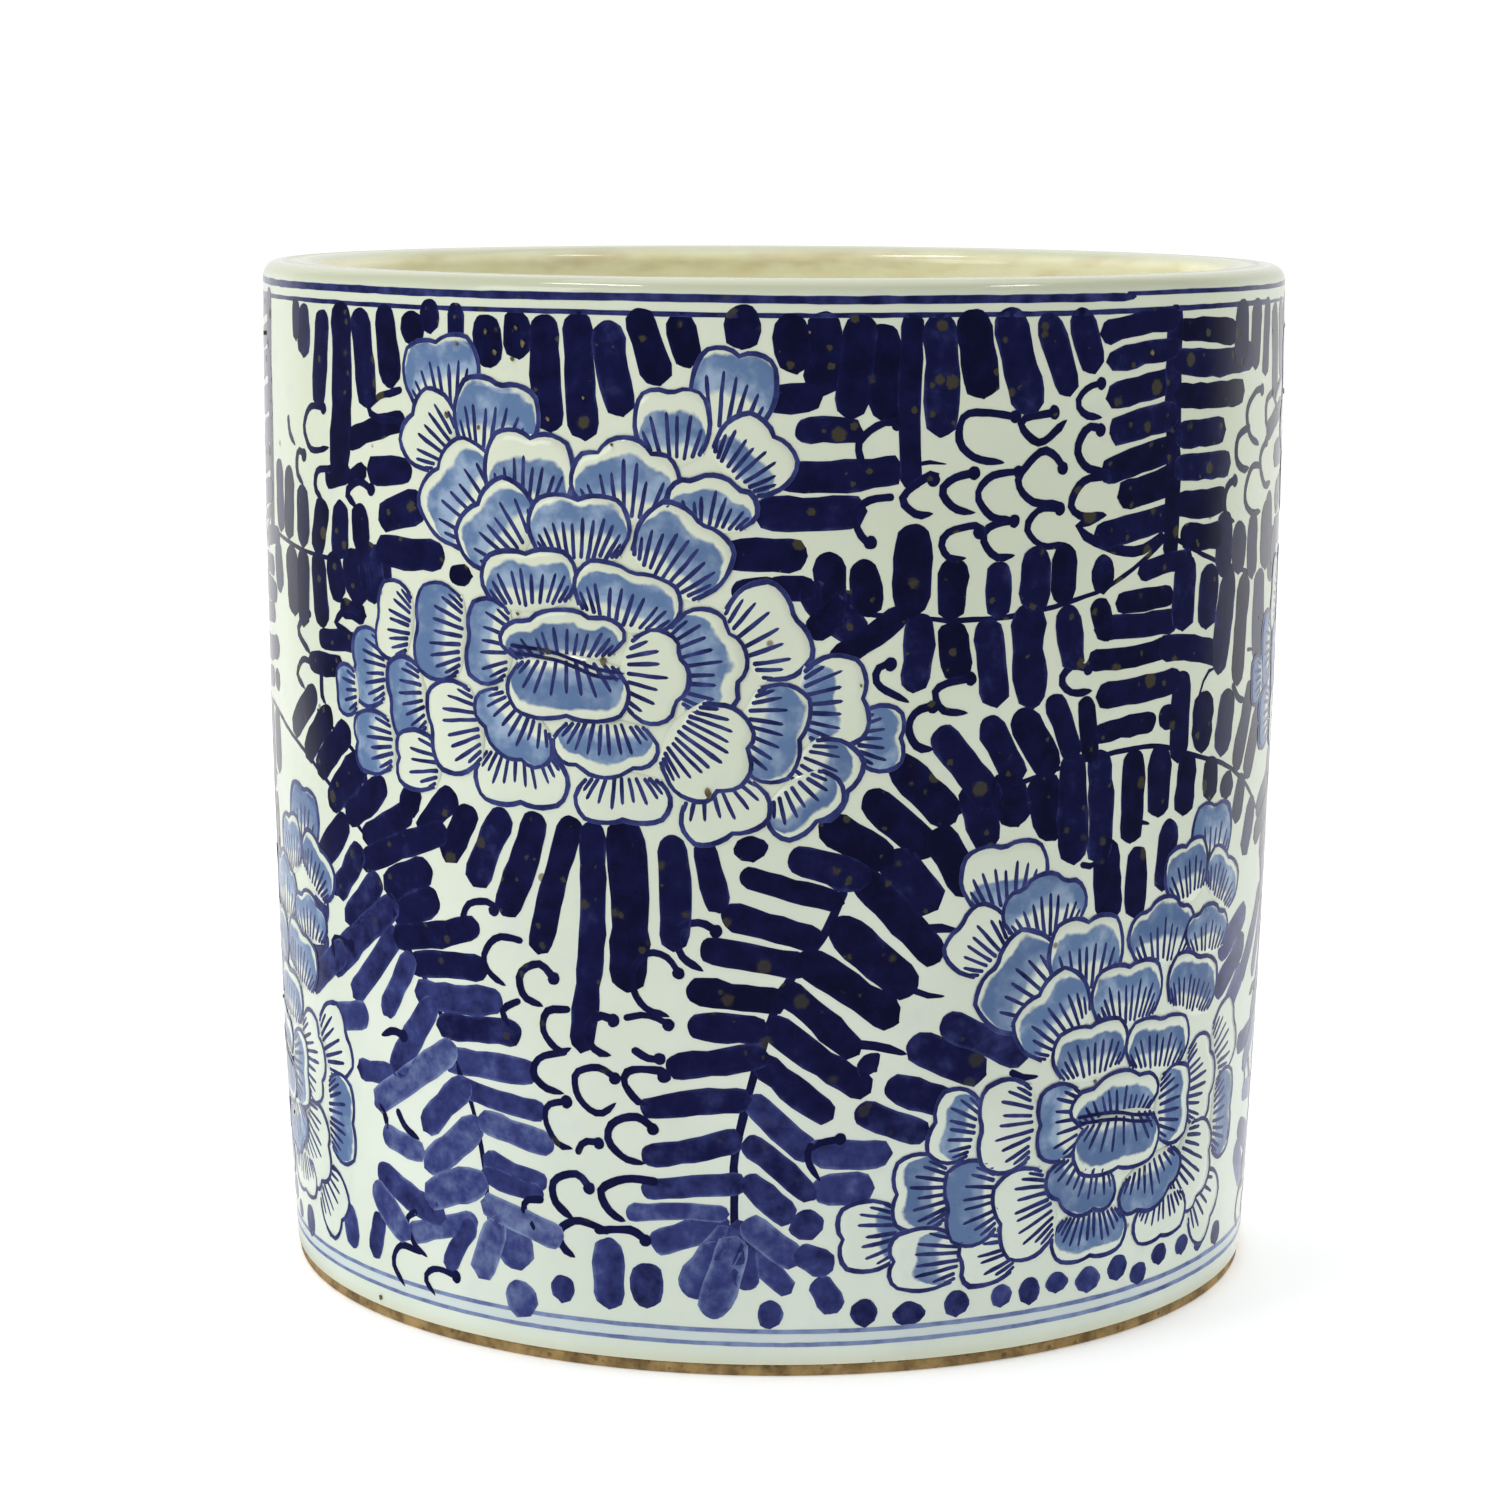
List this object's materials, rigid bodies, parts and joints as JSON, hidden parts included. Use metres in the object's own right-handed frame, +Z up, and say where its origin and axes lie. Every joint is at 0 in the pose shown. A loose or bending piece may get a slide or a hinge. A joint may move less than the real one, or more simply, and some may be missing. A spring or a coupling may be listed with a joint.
{
  "type": "brush holder pot",
  "caption": "Straight-sided cylindrical blue-and-white porcelain pot with a thick rounded lip, open at the top, for standing brushes and rolls in.",
  "frame": {"origin": "middle of the standing face of the foot ring, on the pot's axis", "axes": "+Z up along the axis of the pot to the mouth, -Y towards the side with the large upper flower left of the middle, +X to the right of that side"},
  "size_m": [0.2542, 0.2542, 0.2505],
  "materials": {
    "porcelain_clay": "fired porcelain body, matt",
    "bare_fired_clay": "unglazed fired clay, sandy and brown",
    "outer_glaze": "glossy clear glaze, slightly green white",
    "inner_glaze": "glossy glaze, yellower and stained",
    "cobalt_blue": "underglaze cobalt blue under glossy glaze"
  },
  "bodies": {
    "root": {"wall": "porcelain_clay", "base_disc": "porcelain_clay", "luting_fillet": "porcelain_clay", "foot_ring": "bare_fired_clay", "outer_glaze": "outer_glaze", "inner_glaze": "inner_glaze", "base_glaze": "outer_glaze", "upper_border_lines": "cobalt_blue", "lower_border_lines": "cobalt_blue"}
  },
  "joints": []
}
